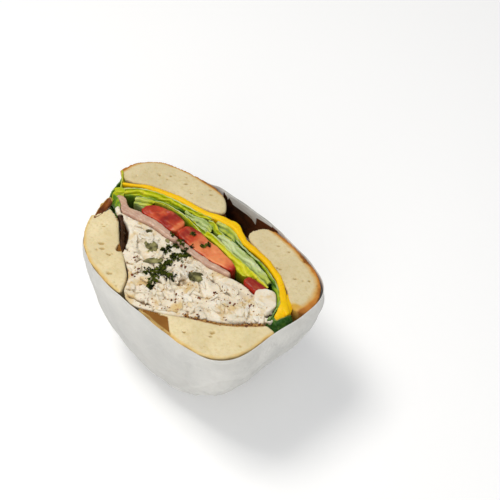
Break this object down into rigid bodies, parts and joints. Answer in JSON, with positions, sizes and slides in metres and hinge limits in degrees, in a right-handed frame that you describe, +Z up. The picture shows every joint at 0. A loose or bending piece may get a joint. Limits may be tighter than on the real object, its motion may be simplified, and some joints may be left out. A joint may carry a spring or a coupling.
{
  "type": "bagel sandwich half",
  "caption": "Half of a filled bagel sandwich standing cut face up in its white paper wrap: chicken salad, onion, tomato, lettuce and yellow cheese between soft white bread.",
  "frame": {"origin": "middle of the half's footprint on the surface that it stands on", "axes": "+X along the cut's long side, +Y through the stack from the bottom bread to the top bread, +Z up, out of the cut face"},
  "size_m": [0.1198, 0.0748, 0.0587],
  "materials": {
    "top_bread": "soft baked crumb with a golden brown crust",
    "bottom_bread": "soft baked crumb with a pale golden crust",
    "cheese": "smooth, slightly waxy",
    "lettuce": "moist leaf",
    "lettuce_rib": "moist pale rib",
    "outer_leaf": "moist dark leaf",
    "tomato": "wet cut flesh",
    "onion": "moist and slightly see-through",
    "chicken": "torn meat in dressing, with chopped herbs",
    "paper": "thin white waxed wrapping paper"
  },
  "bodies": {
    "root": {"bottom_bread": "bottom_bread", "top_bread": "top_bread", "cheese_slice": "cheese", "lettuce_leaf_1": "lettuce", "lettuce_leaf_2": "lettuce", "lettuce_leaf_3": "lettuce", "lettuce_rib": "lettuce_rib", "tomato_slice_1": "tomato", "tomato_slice_2": "tomato", "tomato_slice_3": "tomato", "onion_slice_1": "onion", "onion_slice_2": "onion", "end_leaf_right": "outer_leaf", "end_leaf_left": "outer_leaf", "chicken_salad": "chicken", "paper_wrap": "paper"}
  },
  "joints": []
}
